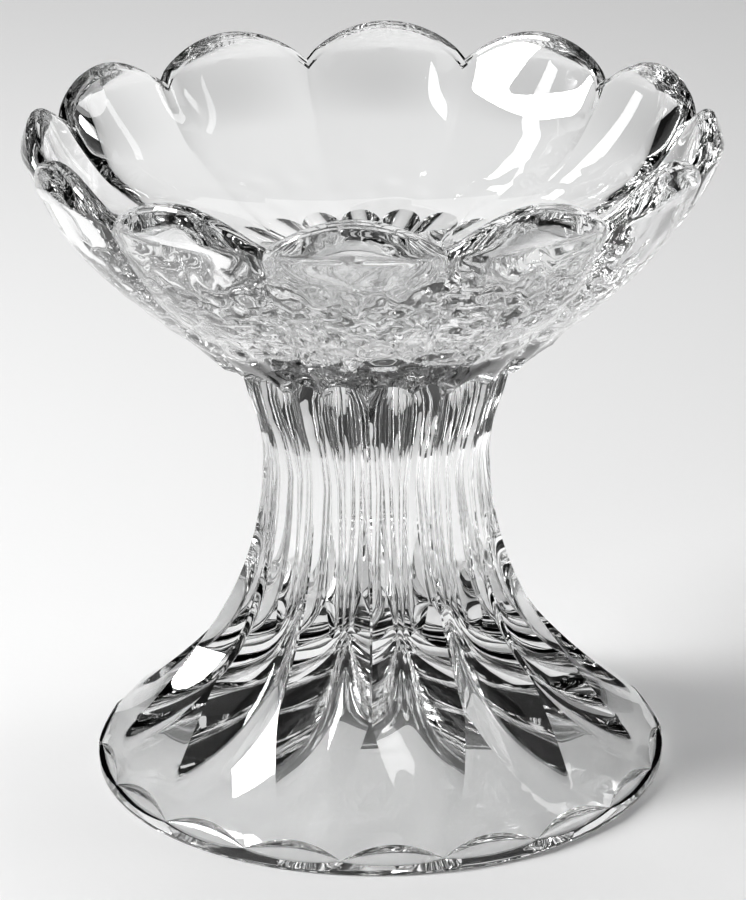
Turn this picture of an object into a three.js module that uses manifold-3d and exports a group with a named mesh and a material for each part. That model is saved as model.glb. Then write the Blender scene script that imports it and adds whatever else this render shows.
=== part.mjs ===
// A footed candlestick of clear cut glass: a lobed bowl with a candle socket in its floor,
// a fluted stem and a flared foot that is hollow below. It is one piece of glass.
// Millimetres, +Z up. The axis is +Z and the foot stands on z = 0.
import * as THREE from 'three';
import { mergeVertices } from 'three/addons/utils/BufferGeometryUtils.js';
import Module from 'manifold-3d';

// Driving dimensions
const FOOT_R = 77.8; // radius of the foot's upright edge
const FOOT_EDGE_H = 3.2; // height of that edge
const SHOULDER = { r: 74.5, z: 7.5 }; // where the rounded foot edge meets the flare
const WAIST = { r: 30.6, z: 88 }; // slimmest place of the stem
const BELLY = { r: 92.3, z: 174 }; // widest place of the bowl, at the middle of a lobe
const CREST_Z = 183.5; // top of the lobes
const CREST_R = 89; // outer radius of the rim at a lobe's top
const RIM_WALL = 4.6; // thickness of the rim
const RIM_FROM_Z = 168; // from here up the rings follow the scalloped rim
const SOCKET = { mouthR: 12.3, mouthZ: 146, floorR: 10.4, floorZ: 122, floorRise: 0.6 };
const HOLLOW = { mouthR: 74.5, topZ: 34.6 }; // hollow under the foot
const FOOT_CHAMFER = 0.8;

// Patterns
const LOBES = 12; // lobes of the bowl, and mitre grooves of the stem and foot
const FOOT_FACETS = 18; // crescent facets on the foot's edge
const NOTCH_DIP = 4.4; // how far the notches lie inside the lobes at the rim
const LOBE_FADE = { from: 110, to: 172 }; // heights over which the lobes grow
const CRESCENT_DIP = 1.5; // depth of a crescent facet
const CRESCENT_LIFT = 0.8; // how far the crescents' tips lie above the upright edge
const CRESCENT_PHASE = 5; // degrees from +X to the first meeting of two crescents
const ARCH = { footZ: 118, rise: 6, step: 1.6, inset: 3.2, insetFromZ: 104 }; // tops of the stem's facets
const GROOVE = { tipZ: 8, reach: 24, power: 0.6, widest: 0.97, faceHollow: 0.12 }; // mitre grooves
const PANEL = { springZ: 130, topZ: 180, dip: 3 }; // arch-topped panels inside the bowl

// Facets round the axis
const COLUMNS = 144; // outside
const FACE_COLUMNS = 4; // of the six columns on half a lobe, those on one face of a groove
const BOWL_COLUMNS = 72; // inside of the bowl
const BORE_COLUMNS = 48; // socket and foot hollow
const SLIDE = { fromZ: 8.4, fullZ: 14, fadeZ: 124, endZ: 142 }; // heights where columns follow the grooves
const CLEAR = 12; // how far a cutter runs past the surface that it opens

// Profile curves, from the lower end to the upper end; x is the radius and y the height
const curve = (...points) => new THREE.CubicBezierCurve(...points.map(([r, z]) => new THREE.Vector2(r, z)));
const footCurve = curve([SHOULDER.r, SHOULDER.z], [72, 9.2], [WAIST.r, 36], [WAIST.r, WAIST.z]);
const bowlCurve = curve([WAIST.r, WAIST.z], [WAIST.r, 126.6], [76.8, 134.9], [BELLY.r, BELLY.z]);
const valleyCurve = curve([73.6, 8.4], [56.5, 18.2], [27.2, 21], [27.2, WAIST.z]);
const upperValleyCurve = curve([27.2, WAIST.z], [28.5, 98], [32, 104], [34.6, 114]);
const insideCurve = curve([SOCKET.mouthR, SOCKET.mouthZ], [44, 147], [70, 149], [86.5, BELLY.z]);
const hollowCurve = curve([HOLLOW.mouthR, 0], [30, 14.5], [3, 30.2], [0, HOLLOW.topZ]);

// Radius of a rising profile curve at a height, found by halving
function radiusAt(profile, z) {
  let low = 0;
  let high = 1;
  for (let i = 0; i < 30; i += 1) {
    const middle = (low + high) / 2;
    if (profile.getPoint(middle).y < z) low = middle;
    else high = middle;
  }
  return profile.getPoint((low + high) / 2).x;
}

const bodyRadius = (z) => radiusAt(z < WAIST.z ? footCurve : bowlCurve, z);
const valleyRadius = (z) => radiusAt(z < WAIST.z ? valleyCurve : upperValleyCurve, z);

// Place across a repeated pattern: 0 where two repeats meet, 1 at the middle of each
function across(angle, repeats, phase) {
  const turn = (((angle - phase) * repeats) / (2 * Math.PI)) % 1;
  return 1 - Math.abs(2 * ((turn + 1) % 1) - 1);
}

// Lobes are centred on angle 0, with a notch and a groove valley half way between them
const halfLobe = Math.PI / LOBES;
const lobePlace = (angle) => across(angle, LOBES, halfLobe);
const arcOf = (place) => 1 - (1 - place) ** 2;
const crescentArc = (angle) => arcOf(across(angle, FOOT_FACETS, THREE.MathUtils.degToRad(CRESCENT_PHASE)));
const archShape = (place) => Math.sqrt(Math.abs(Math.sin(Math.PI * place)));
const archHeight = (angle) => ARCH.footZ + ARCH.rise * archShape(lobePlace(angle));

// Half width of a groove as a share of half a lobe: narrow at its tip and widest on the stem
function grooveShare(z) {
  const run = THREE.MathUtils.clamp((z - GROOVE.tipZ) / GROOVE.reach, 0, 1);
  return THREE.MathUtils.clamp(run ** GROOVE.power, 0.02, GROOVE.widest);
}

// Slides a column round the axis, so that columns lie on the edges of the grooves
function slide(angle, z) {
  const place = lobePlace(angle);
  const share = grooveShare(z);
  const facePart = FACE_COLUMNS / (COLUMNS / LOBES / 2);
  const onFace = (share * place) / facePart;
  const onRidge = 1 - ((1 - share) * (1 - place)) / (1 - facePart);
  const rising = THREE.MathUtils.smoothstep(z, SLIDE.fromZ, SLIDE.fullZ);
  const weight = rising * (1 - THREE.MathUtils.smoothstep(z, SLIDE.fadeZ, SLIDE.endZ));
  const move = weight * ((place < facePart ? onFace : onRidge) - place);
  return angle + Math.sign(Math.sin(LOBES * (angle - halfLobe))) * move * halfLobe;
}

// A mitre groove is a V with slightly hollow faces, and its valley follows the valley curve
function stemRadius(angle, z) {
  const share = grooveShare(z);
  const side = Math.min(lobePlace(angle) / share, 1);
  const inset = ARCH.inset * THREE.MathUtils.smoothstep(z, ARCH.insetFromZ, ARCH.footZ);
  const ridge = bodyRadius(z) - inset;
  const valley = Math.min(valleyRadius(z), ridge);
  const faceWidth = share * ridge * halfLobe;
  return valley + (ridge - valley) * side - 4 * GROOVE.faceHollow * faceWidth * side * (1 - side);
}

// The bowl widens up to its belly, and above that each lobe leans in to its crest
function lobedRadius(angle, z) {
  const growth = THREE.MathUtils.smoothstep(z, LOBE_FADE.from, LOBE_FADE.to);
  const lean = Math.max(0, (z - BELLY.z) / (CREST_Z - BELLY.z)) ** 2;
  const round = bodyRadius(Math.min(z, BELLY.z)) - (BELLY.r - CREST_R) * lean;
  return round - NOTCH_DIP * growth * (1 - arcOf(lobePlace(angle)));
}

// Each lobe of the rim rises in an arc from the notches to its crest
const crestHeight = (angle) => BELLY.z + (CREST_Z - BELLY.z) * arcOf(lobePlace(angle));

// A ring gives a radius and a height by angle; its level places its columns
const ring = (level, at) => ({ level, at });

// A closed solid from rings, from the lowest to the highest
function loft(rings, columns) {
  const points = [];
  const faces = [];
  for (const { level, at } of rings) {
    for (let j = 0; j < columns; j += 1) {
      const angle = slide((2 * Math.PI * j) / columns, level);
      const [radius, height] = at(angle);
      points.push(radius * Math.cos(angle), radius * Math.sin(angle), height);
    }
  }
  for (let i = 0; i + 1 < rings.length; i += 1) {
    for (let j = 0; j < columns; j += 1) {
      const next = (j + 1) % columns;
      const [a, b] = [i * columns + j, i * columns + next];
      faces.push(a, b, b + columns, a, b + columns, a + columns);
    }
  }
  const bottom = points.length / 3;
  const top = (rings.length - 1) * columns;
  points.push(0, 0, rings[0].at(0)[1], 0, 0, rings[rings.length - 1].at(0)[1]);
  for (let j = 0; j < columns; j += 1) {
    const next = (j + 1) % columns;
    faces.push(bottom, next, j, bottom + 1, top + j, top + next);
  }
  const geometry = new THREE.BufferGeometry();
  geometry.setAttribute('position', new THREE.Float32BufferAttribute(points, 3));
  geometry.setIndex(faces);
  return geometry;
}

// A solid of revolution about +Z from [radius, height] pairs that rise along the axis
function revolve(pairs, segments) {
  const outline = pairs.map(([r, z]) => new THREE.Vector2(r, z));
  return new THREE.LatheGeometry(outline, segments).rotateX(Math.PI / 2);
}

const wasm = await Module();
wasm.setup();

function toSolid(geometry) {
  const bare = geometry.clone();
  bare.deleteAttribute('normal');
  bare.deleteAttribute('uv');
  const merged = mergeVertices(bare, 1e-4);
  const vertProperties = new Float32Array(merged.attributes.position.array);
  const triVerts = new Uint32Array(merged.index.array);
  return new wasm.Manifold(new wasm.Mesh({ numProp: 3, vertProperties, triVerts }));
}

function toGeometry(solid) {
  const mesh = solid.getMesh();
  const geometry = new THREE.BufferGeometry();
  geometry.setAttribute('position', new THREE.BufferAttribute(mesh.vertProperties, 3));
  geometry.setIndex(new THREE.BufferAttribute(mesh.triVerts, 1));
  geometry.computeVertexNormals();
  return geometry;
}

// Outside of the foot's edge: an upright band with crescent facets along its top
function footEdgeRings() {
  const foot = FOOT_EDGE_H + CRESCENT_LIFT;
  const band = (angle) => foot - crescentArc(angle);
  const shoulder = (angle) => foot + (SHOULDER.z - foot) * crescentArc(angle);
  const slope = (z) => THREE.MathUtils.mapLinear(z, FOOT_EDGE_H, SHOULDER.z, FOOT_R, SHOULDER.r);
  const scoop = (angle) => (band(angle) + shoulder(angle)) / 2;
  return [
    ring(0, () => [FOOT_R - FOOT_CHAMFER, 0]),
    ring(0, () => [FOOT_R, FOOT_CHAMFER]),
    ring(0, (angle) => [FOOT_R, band(angle)]),
    ring(0, (angle) => [slope(scoop(angle)) - CRESCENT_DIP * crescentArc(angle), scoop(angle)]),
    ring(0, (angle) => [slope(shoulder(angle)), shoulder(angle)]),
    ring(0, () => [bodyRadius(SHOULDER.z + 1), SHOULDER.z + 1]),
  ];
}

// Grooved flare and stem, up to the arched tops of the facets
function stemRings() {
  const heights = [10, 12.5, 15.5, 19, 23, 28, 34, 43, 55, 70, 86, 100, 111];
  const rings = heights.map((z) => ring(z, (angle) => [stemRadius(angle, z), z]));
  const top = (angle) => archHeight(angle) + ARCH.step;
  rings.push(ring(ARCH.footZ, (angle) => [stemRadius(angle, archHeight(angle)), archHeight(angle)]));
  rings.push(ring(ARCH.footZ, (angle) => [bodyRadius(top(angle)), top(angle)]));
  return rings;
}

// Bowl from the arches to the rounded rim
function bowlRings() {
  const heights = [131, 139, 147, 155, 162, RIM_FROM_Z];
  const rings = heights.map((z) => ring(z, (angle) => [lobedRadius(angle, z), z]));
  const rimHeight = (angle) => crestHeight(angle) - RIM_WALL / 2;
  for (const share of [0.4, 0.75, 1]) {
    rings.push(ring(BELLY.z, (angle) => {
      const z = THREE.MathUtils.lerp(RIM_FROM_Z, rimHeight(angle), share);
      return [lobedRadius(angle, z), z];
    }));
  }
  for (const turn of [Math.PI / 4, Math.PI / 2]) {
    rings.push(ring(BELLY.z, (angle) => {
      const radius = lobedRadius(angle, rimHeight(angle)) - (RIM_WALL / 2) * (1 - Math.cos(turn));
      return [radius, rimHeight(angle) + (RIM_WALL / 2) * Math.sin(turn)];
    }));
  }
  return rings;
}

// Depth of the panel scooped into each lobe of the inside, from nothing at the socket's mouth
function panelDepth(radius, height, place) {
  const rise = Math.max(0, (height - PANEL.springZ) / (PANEL.topZ - PANEL.springZ));
  const growth = THREE.MathUtils.inverseLerp(SOCKET.mouthR, insideCurve.v3.x, radius);
  return PANEL.dip * Math.sqrt(Math.max(0, growth)) * Math.max(0, arcOf(place) - rise ** 2);
}

// Everything that the bowl's inside takes away, lobed like the outside near the rim
function bowlCavity() {
  const rimHeight = (angle) => crestHeight(angle) - RIM_WALL / 2;
  const rimRadius = (angle) => lobedRadius(angle, rimHeight(angle)) - RIM_WALL;
  const steps = [0, 0.12, 0.24, 0.37, 0.5, 0.63, 0.76, 0.88, 1];
  const rings = steps.map((t) => ring(0, (angle) => {
    const { x, y } = insideCurve.getPoint(t);
    const nearRim = THREE.MathUtils.smoothstep(t, 0.72, 1);
    const dip = NOTCH_DIP * (1 - arcOf(lobePlace(angle)));
    const height = y + (rimHeight(angle) - BELLY.z) * nearRim;
    const growth = THREE.MathUtils.smoothstep(height, LOBE_FADE.from, LOBE_FADE.to);
    const toRim = (rimRadius(angle) - insideCurve.v3.x + dip) * nearRim;
    return [x - dip * growth + toRim + panelDepth(x, height, lobePlace(angle)), height];
  }));
  rings.push(ring(0, (angle) => [rimRadius(angle), CREST_Z + CLEAR]));
  return loft(rings, BOWL_COLUMNS);
}

function candleSocket() {
  const overlap = 1;
  const floor = [SOCKET.floorR, SOCKET.floorZ + SOCKET.floorRise];
  const mouth = [SOCKET.mouthR, SOCKET.mouthZ + overlap];
  return revolve([[0, SOCKET.floorZ], floor, mouth, [0, mouth[1]]], BORE_COLUMNS);
}

function footHollow() {
  const arc = hollowCurve.getPoints(9).map((p) => [p.x, p.y]);
  arc[arc.length - 1][0] = 0;
  return revolve([[0, -CLEAR], [HOLLOW.mouthR, -CLEAR], ...arc], BORE_COLUMNS);
}

function glassBody() {
  const outside = toSolid(loft([...footEdgeRings(), ...stemRings(), ...bowlRings()], COLUMNS));
  const cuts = [bowlCavity(), candleSocket(), footHollow()];
  return toGeometry(cuts.reduce((solid, cut) => solid.subtract(toSolid(cut)), outside));
}

const clearGlass = new THREE.MeshStandardMaterial({
  color: 0xe6ebee,
  roughness: 0.04,
  metalness: 0,
  transparent: true,
  opacity: 0.4,
});

const glass = new THREE.Mesh(glassBody(), clearGlass);
glass.name = 'glass_body';

const group = new THREE.Group();
group.name = 'candlestick';
group.add(glass);

export default group;
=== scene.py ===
"""A footed candlestick of clear cut glass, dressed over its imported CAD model.

Objects are in metres in the CAD frame: +Z is up, the foot stands on z = 0 and -Y faces the
middle of a lobe. The glass's own sizes are in millimetres, and its angles run from +X.
"""

import logging
import math
from dataclasses import dataclass
from enum import Enum

import bpy
import numpy as np
from mathutils import Matrix, Vector


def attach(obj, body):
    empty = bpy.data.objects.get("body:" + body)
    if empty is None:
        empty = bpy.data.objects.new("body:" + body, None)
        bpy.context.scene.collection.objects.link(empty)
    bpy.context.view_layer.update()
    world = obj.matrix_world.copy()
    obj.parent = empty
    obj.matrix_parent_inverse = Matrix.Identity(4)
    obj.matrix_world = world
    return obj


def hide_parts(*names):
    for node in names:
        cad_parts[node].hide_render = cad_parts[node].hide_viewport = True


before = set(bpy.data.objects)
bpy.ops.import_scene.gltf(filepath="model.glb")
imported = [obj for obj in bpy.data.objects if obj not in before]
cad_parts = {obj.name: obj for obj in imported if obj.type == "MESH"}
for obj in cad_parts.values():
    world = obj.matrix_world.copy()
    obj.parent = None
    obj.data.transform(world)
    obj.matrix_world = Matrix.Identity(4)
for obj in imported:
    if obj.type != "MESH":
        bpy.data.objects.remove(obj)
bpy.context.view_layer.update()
PHOTO_WIDTH, PHOTO_HEIGHT = 746, 900
MM = 0.001
GOLDEN_TURN = 2.4  # radians from each course of the waves to the next

log = logging.getLogger("candlestick")

Array = np.ndarray
Pair = tuple[float, float]
Triple = tuple[float, float, float]


class Shading(Enum):
    """Names of the shader group and of the mesh attribute that the finishes read."""

    RIPPLE = "surface_ripple"
    UNEVEN = "uneven"


def ease(value: Array, low: float, high: float) -> Array:
    """Smooth step: 3t^2 - 2t^3 of the share t of the way from low to high.

    Args:
        value: what is eased.
        low: where the step starts.
        high: where the step ends.

    Returns:
        0 below low, 1 above high, and a smooth rise between them.
    """
    t = np.clip((value - low) / (high - low), 0.0, 1.0)
    return t * t * (3.0 - 2.0 * t)


def arc(place: Array) -> Array:
    """Parabolic hump 1 - (1 - p)^2 over a place p from 0 at a repeat's end to 1 at its middle."""
    return 1.0 - (1.0 - place) ** 2


@dataclass(frozen=True)
class Profile:
    """A cubic curve in the plane of radius and height, from its lower to its upper end."""

    handles: tuple[Pair, Pair, Pair, Pair]
    table_size: int = 2000

    @property
    def low_radius(self) -> float:
        """Radius at the lower end."""
        return self.handles[0][0]

    @property
    def high_radius(self) -> float:
        """Radius at the upper end."""
        return self.handles[3][0]

    def points(self, t: Array) -> tuple[Array, Array]:
        """Radius and height at t: (1-t)^3 A + 3(1-t)^2 t B + 3(1-t) t^2 C + t^3 D.

        Args:
            t: places along the curve, from 0 to 1.

        Returns:
            The radii and the heights, in millimetres.
        """
        a, b, c, d = (np.array(handle)[:, None] for handle in self.handles)
        flat = np.ravel(t)
        curve = (1 - flat) ** 3 * a + 3 * (1 - flat) ** 2 * flat * b
        curve = curve + 3 * (1 - flat) * flat**2 * c + flat**3 * d
        return curve[0].reshape(np.shape(t)), curve[1].reshape(np.shape(t))

    def radius_at(self, height: Array) -> Array:
        """Radius where the curve passes a height, read from a fine table of the curve.

        Args:
            height: heights in millimetres.

        Returns:
            The radius at each height.
        """
        radii, heights = self.points(np.linspace(0.0, 1.0, self.table_size))
        return np.interp(height, heights, radii)


@dataclass
class Grid:
    """Rows of a closed skin of revolution: each row is a ring of radii, heights and angles.

    Uneven is the share of the glass's fine unevenness that each point has.
    """

    radius: Array
    height: Array
    angle: Array
    uneven: Array

    @classmethod
    def ring(cls, radius: Array | float, height: Array, angle: Array,
             uneven: Array | float = 0.0) -> "Grid":
        """Rows whose values are each spread to the full ring of columns."""
        return cls(*np.broadcast_arrays(radius, height, angle, uneven))

    @staticmethod
    def stack(zones: list["Grid"]) -> "Grid":
        """One grid with the rows of all zones, in order."""
        return Grid(*(np.concatenate([getattr(zone, name) for zone in zones])
                      for name in ("radius", "height", "angle", "uneven")))

    def mesh(self, name: str, sharp_angle: float) -> bpy.types.Mesh:
        """Closed mesh of the rows, with one fan at each end.

        A point is (r cos a, r sin a, z). An edge is sharp where the normals of its two
        faces turn by more than sharp_angle.

        Args:
            name: the mesh's name.
            sharp_angle: least turn of a sharp edge, in degrees.

        Returns:
            The new mesh, in metres.
        """
        rows, columns = self.radius.shape
        ring = np.stack([self.radius * np.cos(self.angle), self.radius * np.sin(self.angle),
                         self.height], axis=-1)
        poles = np.array([[0.0, 0.0, self.height[0, 0]], [0.0, 0.0, self.height[-1, 0]]])
        points = np.concatenate([ring.reshape(-1, 3), poles]) * MM
        i, j = np.arange(rows - 1)[:, None], np.arange(columns)[None]
        following = (j + 1) % columns
        quads = np.stack([i * columns + j, i * columns + following,
                          (i + 1) * columns + following, (i + 1) * columns + j], axis=-1)
        low, high, last = rows * columns, rows * columns + 1, (rows - 1) * columns
        fans = [[low, int(n), int(k)] for k, n in zip(j[0], following[0])]
        fans += [[high, last + int(k), last + int(n)] for k, n in zip(j[0], following[0])]
        mesh = bpy.data.meshes.new(name)
        mesh.from_pydata(points.tolist(), [], quads.reshape(-1, 4).tolist() + fans)
        mesh.update()
        mesh.polygons.foreach_set("use_smooth", np.ones(len(mesh.polygons), dtype=bool))
        share = mesh.attributes.new(Shading.UNEVEN.value, "FLOAT", "POINT")
        share.data.foreach_set("value", np.concatenate([self.uneven.ravel(), [0.0, 0.0]]))
        self.mark_sharp(mesh, sharp_angle)
        return mesh

    @staticmethod
    def mark_sharp(mesh: bpy.types.Mesh, sharp_angle: float) -> None:
        """Marks the edges whose two faces turn by more than an angle.

        Args:
            mesh: a closed mesh, in which each edge has two faces.
            sharp_angle: the least turn, in degrees.
        """
        normals = np.empty(len(mesh.polygons) * 3)
        mesh.polygons.foreach_get("normal", normals)
        loop_edges = np.empty(len(mesh.loops), dtype=int)
        mesh.loops.foreach_get("edge_index", loop_edges)
        sizes = np.empty(len(mesh.polygons), dtype=int)
        mesh.polygons.foreach_get("loop_total", sizes)
        faces = np.repeat(np.arange(len(sizes)), sizes)[np.argsort(loop_edges, kind="stable")]
        pairs = normals.reshape(-1, 3)[faces.reshape(-1, 2)]
        turn = (pairs[:, 0] * pairs[:, 1]).sum(axis=1)
        sharp = mesh.attributes.new("sharp_edge", "BOOLEAN", "EDGE")
        sharp.data.foreach_set("value", turn < math.cos(math.radians(sharp_angle)))


RIPPLE_DEFAULTS = {"Wave Scale": 20.0, "Fine Scale": 300.0, "Fine Share": 0.1}
CLOUD_LEVELS: Pair = (0.45, 0.75)


def ripple_group() -> bpy.types.NodeTree:
    """The group that gives fine surface unevenness and a cloudy mask of handling.

    Height is a low noise plus a fine one, and Mask is a third noise between two levels.

    Returns:
        The group, built once.
    """
    found = bpy.data.node_groups.get(Shading.RIPPLE.value)
    if found:
        return found
    group = bpy.data.node_groups.new(Shading.RIPPLE.value, "ShaderNodeTree")
    for name, default in RIPPLE_DEFAULTS.items():
        socket = group.interface.new_socket(name, in_out="INPUT", socket_type="NodeSocketFloat")
        socket.default_value = default
    for name in ("Height", "Mask"):
        group.interface.new_socket(name, in_out="OUTPUT", socket_type="NodeSocketFloat")
    nodes, links = group.nodes, group.links
    inputs, outputs = nodes.new("NodeGroupInput"), nodes.new("NodeGroupOutput")
    place = nodes.new("ShaderNodeTexCoord")
    wave, fine, cloud = (nodes.new("ShaderNodeTexNoise") for _ in range(3))
    for noise, scale in ((wave, "Wave Scale"), (fine, "Fine Scale"), (cloud, "Wave Scale")):
        links.new(place.outputs["Object"], noise.inputs["Vector"])
        links.new(inputs.outputs[scale], noise.inputs["Scale"])
    wave.inputs["Detail"].default_value = 1.0
    fine.inputs["Detail"].default_value = 0.0
    share = nodes.new("ShaderNodeMix")
    links.new(inputs.outputs["Fine Share"], share.inputs[0])
    links.new(wave.outputs["Fac"], share.inputs[2])
    links.new(fine.outputs["Fac"], share.inputs[3])
    links.new(share.outputs[0], outputs.inputs["Height"])
    level = nodes.new("ShaderNodeMapRange")
    for name, value in zip(("From Min", "From Max"), CLOUD_LEVELS):
        level.inputs[name].default_value = value
    links.new(cloud.outputs["Fac"], level.inputs["Value"])
    links.new(level.outputs["Result"], outputs.inputs["Mask"])
    return group


@dataclass(frozen=True)
class Finish:
    """Surface values that every material here has."""

    name: str
    colour: Triple
    cloud_colour: Triple
    roughness: float
    cloud_roughness: float
    wave_scale: float
    fine_scale: float
    fine_share: float
    bump: float

    def material(self) -> bpy.types.Material:
        """The finish as a material: colour and roughness follow the mask, bump the height.

        Returns:
            The new material.
        """
        made = bpy.data.materials.new(self.name)
        made.use_nodes = True
        nodes, links = made.node_tree.nodes, made.node_tree.links
        shader = nodes["Principled BSDF"]
        ripple = nodes.new("ShaderNodeGroup")
        ripple.node_tree = ripple_group()
        ripple.inputs["Wave Scale"].default_value = self.wave_scale
        ripple.inputs["Fine Scale"].default_value = self.fine_scale
        ripple.inputs["Fine Share"].default_value = self.fine_share
        tone = nodes.new("ShaderNodeMix")
        tone.data_type = "RGBA"
        tone.inputs["A"].default_value = (*self.colour, 1.0)
        tone.inputs["B"].default_value = (*self.cloud_colour, 1.0)
        links.new(ripple.outputs["Mask"], tone.inputs[0])
        links.new(tone.outputs["Result"], shader.inputs["Base Color"])
        gloss = nodes.new("ShaderNodeMapRange")
        gloss.inputs["To Min"].default_value = self.roughness
        gloss.inputs["To Max"].default_value = self.cloud_roughness
        links.new(ripple.outputs["Mask"], gloss.inputs["Value"])
        links.new(gloss.outputs["Result"], shader.inputs["Roughness"])
        bump = nodes.new("ShaderNodeBump")
        bump.inputs["Strength"].default_value = 1.0
        bump.inputs["Distance"].default_value = self.bump
        links.new(ripple.outputs["Height"], bump.inputs["Height"])
        links.new(bump.outputs["Normal"], shader.inputs["Normal"])
        return made


@dataclass(frozen=True)
class ClearGlass(Finish):
    """Fire-polished lead glass, with the faint waves and handling marks of an old piece."""

    name: str = "clear_glass"
    colour: Triple = (0.995, 0.998, 0.997)
    cloud_colour: Triple = (0.985, 0.99, 0.988)
    roughness: float = 0.0
    cloud_roughness: float = 0.015
    wave_scale: float = 45.0
    fine_scale: float = 400.0
    fine_share: float = 0.02
    bump: float = 0.00003
    ior: float = 1.54
    grain_scale: float = 380.0
    grain_depth: float = 0.00015

    def material(self) -> bpy.types.Material:
        """The finish as clear, refracting glass, with a fine grain where the mesh is uneven.

        Returns:
            The new material, whose grain is a second bump on top of the first.
        """
        made = super().material()
        nodes, links = made.node_tree.nodes, made.node_tree.links
        shader = nodes["Principled BSDF"]
        shader.inputs["Transmission Weight"].default_value = 1.0
        shader.inputs["IOR"].default_value = self.ior
        place = nodes.new("ShaderNodeTexCoord")
        grain = nodes.new("ShaderNodeTexNoise")
        grain.inputs["Scale"].default_value = self.grain_scale
        grain.inputs["Detail"].default_value = 0.0
        links.new(place.outputs["Object"], grain.inputs["Vector"])
        share = nodes.new("ShaderNodeAttribute")
        share.attribute_name = Shading.UNEVEN.value
        height = nodes.new("ShaderNodeMath")
        height.operation = "MULTIPLY"
        links.new(grain.outputs["Fac"], height.inputs[0])
        links.new(share.outputs["Fac"], height.inputs[1])
        bump = nodes.new("ShaderNodeBump")
        bump.inputs["Strength"].default_value = 1.0
        bump.inputs["Distance"].default_value = self.grain_depth
        links.new(height.outputs["Value"], bump.inputs["Height"])
        links.new(shader.inputs["Normal"].links[0].from_socket, bump.inputs["Normal"])
        links.new(bump.outputs["Normal"], shader.inputs["Normal"])
        return made


@dataclass(frozen=True)
class StudioPaper(Finish):
    """The matt pale paper of the floor and the wall."""

    name: str = "studio_paper"
    colour: Triple = (0.82, 0.82, 0.82)
    cloud_colour: Triple = (0.81, 0.81, 0.81)
    roughness: float = 0.45
    cloud_roughness: float = 0.5
    wave_scale: float = 3.0
    fine_scale: float = 500.0
    fine_share: float = 0.5
    bump: float = 0.00005


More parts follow.
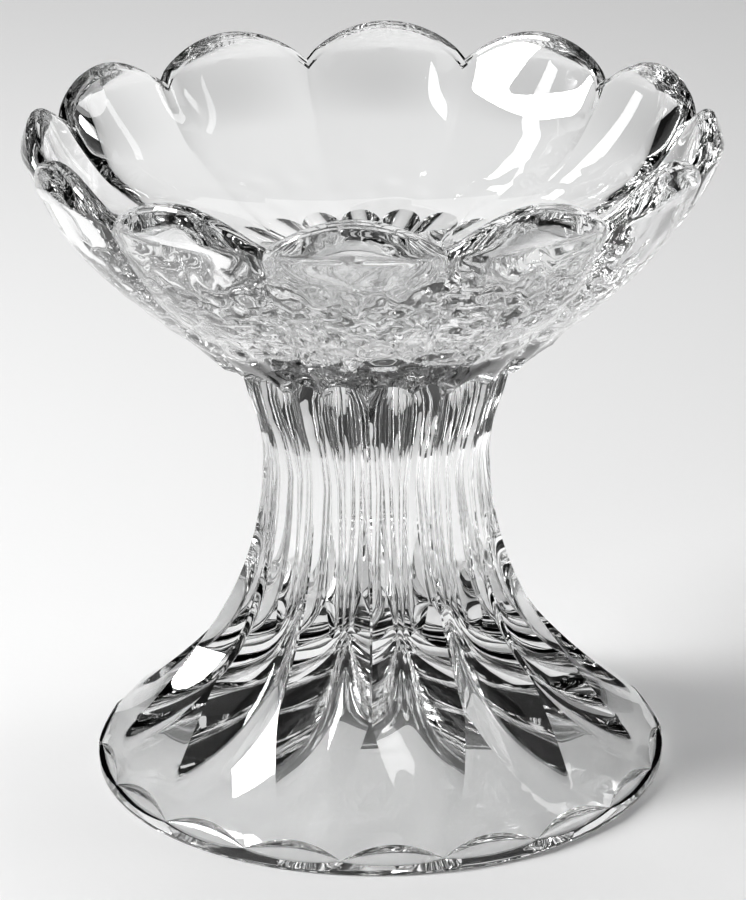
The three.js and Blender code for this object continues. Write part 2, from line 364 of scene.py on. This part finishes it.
@dataclass
class GlassBody:
    """The candlestick's one piece of glass, as a skin from the foot's hollow to the socket.

    Sizes are in millimetres. Each half of a lobe has face_columns across its half of a
    mitre groove and ridge_columns across what is left up to the ridge. Rows are given as
    counts, or as bands of heights (from, to, step).
    """

    foot_radius: float = 77.8
    foot_edge_height: float = 3.2
    foot_chamfer: float = 0.8
    chamfer_middle: float = 0.3
    resting_edge: float = 0.5
    shoulder: Pair = (74.5, 7.5)
    waist_height: float = 88.0
    belly_height: float = 174.0
    crest_height: float = 183.5
    crest_radius: float = 89.0
    rim_wall: float = 4.6
    foot: Profile = Profile(((74.5, 7.5), (72.0, 9.2), (30.6, 36.0), (30.6, 88.0)))
    bowl: Profile = Profile(((30.6, 88.0), (30.6, 126.6), (76.8, 134.9), (92.3, 174.0)))
    valley: Profile = Profile(((73.6, 8.4), (56.5, 18.2), (27.2, 21.0), (27.2, 88.0)))
    upper_valley: Profile = Profile(((27.2, 88.0), (28.5, 98.0), (32.0, 104.0), (34.6, 114.0)))
    inside: Profile = Profile(((12.3, 146.0), (44.0, 147.0), (74.0, 153.0), (87.4, 174.0)))
    hollow: Profile = Profile(((74.5, 0.0), (44.0, 12.5), (14.0, 32.0), (0.0, 34.6)))
    socket_mouth: Pair = (12.3, 146.0)
    socket_floor: Pair = (10.4, 122.0)
    socket_dish: float = 0.8

    # Patterns and waves
    lobes: int = 12
    foot_facets: int = 18
    facet_phase: float = 5.0
    notch_dip: float = 3.6
    inside_dip: float = 0.5
    inside_blend: float = 0.72
    lobe_fade: Pair = (110.0, 172.0)
    floor_wave: float = 0.8
    outside_wave: float = 0.5
    wave_ring: float = 40.0
    outside_fade: Pair = (134.0, 150.0)
    wave_lengths: Pair = (4.5, 9.0)
    wave_count: int = 14
    wavy_radius: Pair = (70.0, 82.0)
    wavy_side: Pair = (-0.2, 0.5)
    crescent_dip: float = 1.5
    crescent_lift: float = 0.8
    arch_foot: float = 118.0
    arch_rise: float = 6.0
    arch_step: float = 1.6
    arch_inset: float = 3.2
    inset_from: float = 104.0
    groove_tip: float = 8.0
    groove_reach: float = 24.0
    groove_power: float = 0.6
    groove_limits: Pair = (0.02, 0.97)
    aligned_from: Pair = (8.4, 14.0)
    aligned_until: Pair = (124.0, 142.0)
    hollow_heights: tuple[float, ...] = (25.0, 60.0, 92.0, 118.0)
    face_hollows: tuple[float, ...] = (0.0, 0.1, 0.2, 0.3)
    valley_round: float = 0.6
    # Columns and rows of the mesh
    face_columns: int = 11
    ridge_columns: int = 4
    sharp_angle: float = 22.0
    hollow_rows: int = 44
    hollow_crowding: float = 1.2
    pole_gap: float = 0.02
    upright_rows: Pair = (0.6, 1.0)
    facet_rows: int = 8
    stem_bands: tuple[Triple, ...] = ((8.5, 13.0, 0.45), (13.0, 40.0, 0.9),
                                      (40.0, 88.0, 2.0), (88.0, 112.0, 1.5))
    shaft_top: float = 112.0
    arch_rows: int = 4
    bowl_start: Pair = (126.6, 129.0)
    bowl_band: Triple = (131.0, 167.5, 1.3)
    lobes_from: float = 168.0
    lobe_rows: int = 12
    rim_rows: int = 8
    inside_rows: int = 64
    inside_start: float = 0.985
    socket_rows: int = 8
    dish_rows: int = 5
    dish_gap: float = 0.1

    def columns(self, height: Array) -> tuple[Array, Array]:
        """Angle and place of every column at a height.

        A place runs from 0 in a groove's valley to 1 on the ridge beside it. Columns are
        even where the glass is round. On the stem, a groove's columns are at the share
        (1 - cos) / 2 of its half width, so that the last one follows the groove's edge.

        Args:
            height: heights of shape (rows, 1).

        Returns:
            Angles from +X in radians, and places, both of shape (rows, columns).
        """
        share = self.groove_share(height)
        face = 0.5 - 0.5 * np.cos(np.pi * np.arange(self.face_columns) / self.face_columns)
        ridge = np.arange(self.ridge_columns + 1) / self.ridge_columns
        aligned = np.concatenate([share * face, share + (1.0 - share) * ridge], axis=1)
        even = np.linspace(0.0, 1.0, self.face_columns + self.ridge_columns + 1)[None]
        weight = ease(height, *self.aligned_from) * (1.0 - ease(height, *self.aligned_until))
        half = even + (aligned - even) * weight
        place = np.concatenate([half[:, :-1], half[:, :0:-1]], axis=1)
        turn = np.concatenate([half[:, :-1], 2.0 - half[:, :0:-1]], axis=1)
        width = np.pi / self.lobes
        starts = (2.0 * np.arange(self.lobes) - 1.0) * width
        angle = (starts[None, :, None] + turn[:, None, :] * width).reshape(len(height), -1)
        return angle, np.tile(place, (1, self.lobes))

    def groove_share(self, height: Array) -> Array:
        """Half width of a groove as a share of half a lobe: ((z - tip) / reach)^power."""
        run = np.clip((height - self.groove_tip) / self.groove_reach, 0.0, 1.0)
        return np.clip(run**self.groove_power, *self.groove_limits)

    def body_radius(self, height: Array) -> Array:
        """Radius of the foot and the bowl before anything is cut from them."""
        return np.where(height < self.waist_height, self.foot.radius_at(height),
                        self.bowl.radius_at(height))

    def valley_radius(self, height: Array) -> Array:
        """Radius of a groove's valley, which runs deepest on the foot's flare."""
        return np.where(height < self.waist_height, self.valley.radius_at(height),
                        self.upper_valley.radius_at(height))

    def stem_radius(self, height: Array, place: Array) -> Array:
        """Radius of the grooved stem: v + (r - v) q - 4 f w s (1 - s).

        v is the valley, r the ridge, w the width of a groove's face and s the share of the
        way across it. q = (hypot(s, e) - e) / (hypot(1, e) - e) is that share with the
        valley rounded by e. Each face is hollowed by f of its width, where f grows up the
        stem. Near the arches the ridge lies inside the bowl by an inset.

        Args:
            height: heights of the points.
            place: places across a groove.

        Returns:
            The radius at each point.
        """
        share = self.groove_share(height)
        side = np.minimum(place / share, 1.0)
        soft = np.hypot(side, self.valley_round) - self.valley_round
        soft = soft / (math.hypot(1.0, self.valley_round) - self.valley_round)
        ridge = self.body_radius(height)
        ridge = ridge - self.arch_inset * ease(height, self.inset_from, self.arch_foot)
        valley = np.minimum(self.valley_radius(height), ridge)
        width = share * ridge * np.pi / self.lobes
        depth = np.interp(height, self.hollow_heights, self.face_hollows)
        hollow = 4.0 * depth * width * side * (1.0 - side)
        return valley + (ridge - valley) * soft - hollow

    def lobed_radius(self, height: Array, place: Array) -> Array:
        """Radius of the bowl's outside: the body less a dip that grows to the rim's notches.

        Above the belly each lobe leans in by the square of the way to its crest.

        Args:
            height: heights of the points.
            place: places across a lobe.

        Returns:
            The radius at each point.
        """
        growth = ease(height, *self.lobe_fade)
        rise = (height - self.belly_height) / (self.crest_height - self.belly_height)
        lean = np.clip(rise, 0.0, None) ** 2 * (self.bowl.high_radius - self.crest_radius)
        round_body = self.body_radius(np.minimum(height, self.belly_height))
        return round_body - lean - self.notch_dip * growth * (1.0 - arc(place))

    def foot_hollow(self) -> Grid:
        """The hollow under the foot: its profile from the pole out to the mouth.

        Returns:
            The rows of the hollow, closer together towards its pole.
        """
        share = np.linspace(self.pole_gap, 1.0, self.hollow_rows)[:, None]
        t = 1.0 - share**self.hollow_crowding
        radius, height = self.hollow.points(t)
        angle, _ = self.columns(np.zeros_like(t))
        return Grid.ring(radius, height, angle)

    def foot_edge(self) -> Grid:
        """The foot's resting ring, its upright band and the crescent facets above that.

        A facet runs from the band's top, edge + lift - h, to the shoulder, where h is the
        facet's hump, and is scooped by 4 dip h s (1 - s) at the share s of the way up.

        Returns:
            The rows from the hollow's mouth to the shoulder.
        """
        angle, _ = self.columns(np.zeros((1, 1)))
        turn = ((np.degrees(angle) - self.facet_phase) * self.foot_facets / 360.0) % 1.0
        hump = arc(1.0 - np.abs(2.0 * turn - 1.0))
        base = self.foot_edge_height + self.crescent_lift
        band = base - hump
        shoulder = base + (self.shoulder[1] - base) * hump
        chamfer, middle = self.foot_chamfer, self.foot_chamfer * self.chamfer_middle
        rests = np.array([[self.hollow.low_radius + self.resting_edge, 0.0],
                          [self.foot_radius - chamfer, 0.0],
                          [self.foot_radius - middle, middle],
                          [self.foot_radius, chamfer]])
        flat = Grid.ring(rests[:, :1], rests[:, 1:], angle)
        upright = Grid.ring(self.foot_radius, band * np.array(self.upright_rows)[:, None], angle)
        share = np.linspace(0.0, 1.0, self.facet_rows + 1)[1:, None]
        height = band + (shoulder - band) * share
        run = (height - self.foot_edge_height) / (self.shoulder[1] - self.foot_edge_height)
        slope = self.foot_radius + (self.shoulder[0] - self.foot_radius) * run
        scoop = 4.0 * self.crescent_dip * hump * share * (1.0 - share)
        facets = Grid.ring(slope - scoop, height, angle)
        return Grid.stack([flat, upright, facets])

    def stem(self) -> Grid:
        """The grooved flare and stem, up to the arched tops of the groove faces.

        The tops follow foot + rise sqrt(sin(pi p)) over the place p, and a small step
        above them leads out to the bowl.

        Returns:
            The rows from the shoulder to the step above the arches.
        """
        height = np.concatenate([np.arange(*band) for band in self.stem_bands])[:, None]
        angle, place = self.columns(height)
        shaft = Grid.ring(self.stem_radius(height, place), height, angle)
        start = np.full((1, 1), self.shaft_top)
        angle, place = self.columns(start)
        top = self.arch_foot + self.arch_rise * np.sqrt(np.sin(np.pi * place))
        height = start + (top - start) * np.linspace(0.0, 1.0, self.arch_rows + 1)[1:, None]
        arches = Grid.ring(self.stem_radius(height, place), height, angle)
        step = Grid.ring(self.body_radius(top + self.arch_step), top + self.arch_step, angle)
        return Grid.stack([shaft, arches, step])

    def bowl_outside(self) -> Grid:
        """The bowl from the arches to its scalloped rim, with the rim's rounded edge.

        Above the arches the waves at (g cos a, g sin a + z) are added, and fade upwards. They
        close round the bowl, because g is one radius for all heights.

        Returns:
            The rows from the arches to the inner side of the rim's edge.
        """
        middle = np.concatenate([self.bowl_start, np.arange(*self.bowl_band)])[:, None]
        angle, place = self.columns(middle)
        fade = self.outside_wave * (1.0 - ease(middle, *self.outside_fade))
        across = self.wave_ring * np.sin(angle) + middle
        wave = self.waves(self.wave_ring * np.cos(angle), across)
        side = Grid.ring(self.lobed_radius(middle, place) + fade * wave, middle, angle)
        angle, place = self.columns(np.full((1, 1), self.belly_height))
        round_top = self.crest(place) - self.rim_wall / 2.0
        rise = np.linspace(0.0, 1.0, self.lobe_rows)[:, None]
        height = self.lobes_from + (round_top - self.lobes_from) * rise
        lobes = Grid.ring(self.lobed_radius(height, place), height, angle)
        bend = np.linspace(0.0, np.pi, self.rim_rows + 1)[1:, None]
        radius = self.lobed_radius(round_top, place) - self.rim_wall / 2.0
        edge = Grid.ring(radius + self.rim_wall / 2.0 * np.cos(bend),
                         round_top + self.rim_wall / 2.0 * np.sin(bend), angle)
        return Grid.stack([side, lobes, edge])

    def crest(self, place: Array) -> Array:
        """Height of the rim: an arc over each lobe, from the belly to the crest."""
        return self.belly_height + (self.crest_height - self.belly_height) * arc(place)

    def uneven_share(self, radius: Array, angle: Array) -> Array:
        """Share of the unevenness that a point has: less towards the rim and the back."""
        calm = ease(radius, *self.wavy_radius)
        return (1.0 - calm) * ease(-np.sin(angle), *self.wavy_side)

    def waves(self, x: Array, y: Array) -> Array:
        """Crossing waves: the sum over k of sin(2 pi (x cos b + y sin b) / L + b) by root n.

        The n courses b turn by the golden angle, and the lengths L lie between two limits.

        Args:
            x: places along one direction, in millimetres.
            y: places along the other.

        Returns:
            The waves' height at each place, mostly between -1 and 1.
        """
        total = np.zeros(np.broadcast(x, y).shape)
        for k, length in enumerate(np.linspace(*self.wave_lengths, self.wave_count)):
            course = GOLDEN_TURN * k
            along = x * math.cos(course) + y * math.sin(course)
            total = total + np.sin(2.0 * np.pi * along / length + course)
        return total / math.sqrt(self.wave_count)

    def bowl_inside(self) -> Grid:
        """The inside of the bowl: nearly round, uneven at the front, and lobed near the rim.

        Returns:
            The rows from the rim down to the socket's mouth.
        """
        t = np.linspace(self.inside_start, 0.0, self.inside_rows)[:, None]
        radius, height = self.inside.points(t)
        angle, place = self.columns(np.full_like(t, self.belly_height))
        inner_dip = self.inside_dip * (1.0 - arc(place))
        near_rim = ease(t, self.inside_blend, 1.0)
        rim_height = self.crest(place) - self.rim_wall / 2.0
        rim_radius = self.lobed_radius(rim_height, place) - self.rim_wall
        full = self.inside.high_radius - inner_dip
        height = height + (rim_height - self.belly_height) * near_rim
        radius = radius - inner_dip * ease(height, *self.lobe_fade)
        radius = radius + (rim_radius - full) * near_rim
        uneven = self.uneven_share(radius, angle)
        wave = self.waves(radius * np.cos(angle), radius * np.sin(angle))
        return Grid.ring(radius, height + self.floor_wave * uneven * wave, angle, uneven)

    def socket(self) -> Grid:
        """The candle socket: a tapering bore with a slightly dished floor.

        Returns:
            The rows from the socket's mouth to the middle of its floor.
        """
        angle, _ = self.columns(np.full((1, 1), self.belly_height))
        (mouth, top), (floor, bottom) = self.socket_mouth, self.socket_floor
        share = np.linspace(0.0, 1.0, self.socket_rows + 1)[1:, None]
        bore = Grid.ring(mouth + (floor - mouth) * share,
                         top + (bottom + self.socket_dish - top) * share, angle)
        share = np.linspace(1.0, self.dish_gap, self.dish_rows + 1)[1:, None]
        end = Grid.ring(floor * share, bottom + self.socket_dish * share**2, angle)
        return Grid.stack([bore, end])

    def build(self) -> bpy.types.Object:
        """Makes the glass as one closed piece and puts it in the frame.

        Returns:
            The piece, which rides on the root and replaces the CAD solid.
        """
        skin = Grid.stack([self.foot_hollow(), self.foot_edge(), self.stem(),
                           self.bowl_outside(), self.bowl_inside(), self.socket()])
        piece = bpy.data.objects.new("glass", skin.mesh("glass", self.sharp_angle))
        bpy.context.scene.collection.objects.link(piece)
        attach(piece, "root")
        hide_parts("glass_body")
        return piece

    def dress(self, piece: bpy.types.Object, finish: Finish) -> None:
        """Gives the glass its material."""
        piece.data.materials.append(finish.material())


@dataclass(frozen=True)
class Softbox:
    """A rectangular lamp, aimed at a point, with sizes and places in metres."""

    name: str
    place: Triple
    size: Pair
    power: float
    in_glass: bool = True
    aim: Triple = (0.0, 0.0, 0.09)

    def build(self) -> bpy.types.Object:
        """Makes the lamp, which the camera doesn't see directly.

        A lamp that isn't in the glass lights the paper, but doesn't show in the glass.

        Returns:
            The lamp.
        """
        light = bpy.data.lights.new(self.name, "AREA")
        light.shape = "RECTANGLE"
        light.size, light.size_y = self.size
        light.energy = self.power
        lamp = bpy.data.objects.new(self.name, light)
        lamp.location = self.place
        away = Vector(self.aim) - Vector(self.place)
        lamp.rotation_euler = away.to_track_quat("-Z", "Y").to_euler()
        lamp.visible_camera = False
        lamp.visible_glossy = self.in_glass
        lamp.visible_transmission = self.in_glass
        bpy.context.scene.collection.objects.link(lamp)
        return lamp


@dataclass
class Studio:
    """A pale paper floor with soft lamps and dark surroundings.

    The floor's rim turns up into a cove that only the camera sees, so that every view ends
    on paper while the glass still has dark surroundings to show. Sizes are in metres.
    """

    sides: int = 96
    inner_rings: Pair = (0.02, 0.3)
    paper_radius: float = 1.0
    cove_radius: float = 0.8
    cove_start: float = 1.6
    cove_height: float = 1.8
    cove_rows: int = 16
    surroundings: float = 0.005
    pool_radius: float = 0.0735
    pool_lift: float = 0.0001
    pool_light: float = 0.25
    turn: float = 3.0
    bounces: int = 24
    glossy_bounces: int = 8
    diffuse_bounces: int = 2
    lamps: tuple[Softbox, ...] = (
        Softbox("key", (-1.3, -0.2, 1.0), (0.5, 0.9), 40.0),
        Softbox("top", (0.1, 0.5, 1.7), (1.2, 0.8), 9.0, in_glass=False),
        Softbox("right", (1.2, 0.3, 0.9), (0.25, 0.9), 3.0),
        Softbox("back", (0.0, 1.5, 0.85), (0.5, 0.5), 0.5),
    )

    def floor(self) -> bpy.types.Object:
        """The round sheet of paper that the candlestick stands on."""
        radius = np.array([*self.inner_rings, self.paper_radius])
        return self.dish("floor", radius, np.zeros_like(radius), closed=True)

    def pool(self) -> bpy.types.Object:
        """The light that the foot gathers on the paper under it.

        Returns:
            A faintly glowing disc, just above the paper.
        """
        radius = np.array([self.inner_rings[0], self.pool_radius])
        made = self.dish("pool", radius, np.full_like(radius, self.pool_lift), closed=True)
        shader = made.data.materials[0].node_tree.nodes["Principled BSDF"]
        shader.inputs["Emission Color"].default_value = (1.0, 1.0, 1.0, 1.0)
        shader.inputs["Emission Strength"].default_value = self.pool_light
        return made

    def cove(self) -> bpy.types.Object:
        """The paper beyond the floor: flat, then a quarter circle and a straight wall.

        Returns:
            The sheet, which only the camera sees.
        """
        bend = np.linspace(0.0, np.pi / 2.0, self.cove_rows)
        radius = np.concatenate([[self.paper_radius],
                                 self.cove_start + self.cove_radius * np.sin(bend),
                                 [self.cove_start + self.cove_radius]])
        height = np.concatenate([[0.0], self.cove_radius * (1.0 - np.cos(bend)),
                                 [self.cove_height]])
        made = self.dish("cove", radius, height, closed=False)
        made.visible_transmission = False
        made.visible_glossy = False
        made.visible_diffuse = False
        made.visible_shadow = False
        return made

    def dish(self, name: str, radius: Array, height: Array, closed: bool) -> bpy.types.Object:
        """Makes a smooth sheet of paper by turning a profile: (r cos a, r sin a, z).

        Args:
            name: the sheet's name.
            radius: the profile's radii, from the middle outwards.
            height: the profile's heights.
            closed: whether a face covers the middle.

        Returns:
            The sheet, which isn't part of the candlestick.
        """
        angle = np.linspace(0.0, 2.0 * np.pi, self.sides, endpoint=False)
        points = np.stack([radius[:, None] * np.cos(angle), radius[:, None] * np.sin(angle),
                           height[:, None] + 0.0 * angle], axis=-1)
        rows, columns = points.shape[:2]
        i, j = np.arange(rows - 1)[:, None], np.arange(columns)[None]
        following = (j + 1) % columns
        quads = np.stack([i * columns + j, (i + 1) * columns + j,
                          (i + 1) * columns + following, i * columns + following], axis=-1)
        faces = quads.reshape(-1, 4).tolist()
        if closed:
            faces.append(list(range(columns)))
        mesh = bpy.data.meshes.new(name)
        mesh.from_pydata(points.reshape(-1, 3).tolist(), [], faces)
        mesh.polygons.foreach_set("use_smooth", np.ones(len(faces), dtype=bool))
        mesh.materials.append(StudioPaper().material())
        made = bpy.data.objects.new(name, mesh)
        bpy.context.scene.collection.objects.link(made)
        return made

    def build(self) -> None:
        """Makes the floor, its pool of light, the cove, the lamps and the dim world."""
        turned = [self.floor(), self.pool(), self.cove()]
        turned += [lamp.build() for lamp in self.lamps]
        turn = Matrix.Rotation(math.radians(self.turn), 4, "Z")
        bpy.context.view_layer.update()
        for made in turned:
            made.matrix_world = turn @ made.matrix_world
        world = bpy.data.worlds.new("surroundings")
        world.use_nodes = True
        level = self.surroundings
        world.node_tree.nodes["Background"].inputs["Color"].default_value = (level, level, level, 1)
        scene = bpy.context.scene
        scene.world = world
        scene.view_settings.view_transform = "Standard"
        scene.cycles.max_bounces = self.bounces
        scene.cycles.transmission_bounces = self.bounces
        scene.cycles.glossy_bounces = self.glossy_bounces
        scene.cycles.diffuse_bounces = self.diffuse_bounces
        scene.cycles.caustics_refractive = True
        scene.cycles.caustics_reflective = False


@dataclass
class Viewpoint:
    """The camera of the photograph, in metres, degrees and pixels of the photograph."""

    azimuth: float = 3.0
    distance: float = 1.0849
    height: float = 0.5154
    pitch: float = 21.57
    roll: float = 0.85
    focal_pixels: float = 4324.0
    centre: Pair = (376.2, 457.9)
    sensor: float = 36.0
    nearest: float = 0.01

    def build(self) -> bpy.types.Object:
        """Makes the scene's camera.

        It stands at an azimuth from -Y towards +X. The shift puts the lens axis on the
        photograph's own centre, and the lens is focal pixels times sensor over width.

        Returns:
            The camera object.
        """
        lens = bpy.data.cameras.new("camera")
        lens.sensor_fit = "HORIZONTAL"
        lens.sensor_width = self.sensor
        lens.lens = self.focal_pixels * lens.sensor_width / PHOTO_WIDTH
        lens.shift_x = (PHOTO_WIDTH / 2.0 - self.centre[0]) / PHOTO_WIDTH
        lens.shift_y = (self.centre[1] - PHOTO_HEIGHT / 2.0) / PHOTO_WIDTH
        lens.clip_start = self.nearest
        pitch, roll = math.radians(self.pitch), math.radians(self.roll)
        ahead = Vector((0.0, math.cos(pitch), -math.sin(pitch)))
        up = Vector((0.0, math.sin(pitch), math.cos(pitch)))
        right = Vector((1.0, 0.0, 0.0))
        side = right * math.cos(roll) - up * math.sin(roll)
        top = right * math.sin(roll) + up * math.cos(roll)
        stand = Matrix((side, top, -ahead)).transposed().to_4x4()
        stand.translation = Vector((0.0, -self.distance, self.height))
        camera = bpy.data.objects.new("camera", lens)
        bpy.context.scene.collection.objects.link(camera)
        camera.matrix_world = Matrix.Rotation(math.radians(self.azimuth), 4, "Z") @ stand
        bpy.context.scene.camera = camera
        return camera


def main() -> None:
    """Builds the camera, the studio and the glass, and reports each."""
    logging.basicConfig(level=logging.INFO, format="%(name)s: %(message)s")
    Viewpoint().build()
    Studio().build()
    log.info("camera and studio are set")
    body = GlassBody()
    glass = body.build()
    body.dress(glass, ClearGlass())
    log.info("%s: %d faces", glass.name, len(glass.data.polygons))


if __name__ == "__main__":
    main()
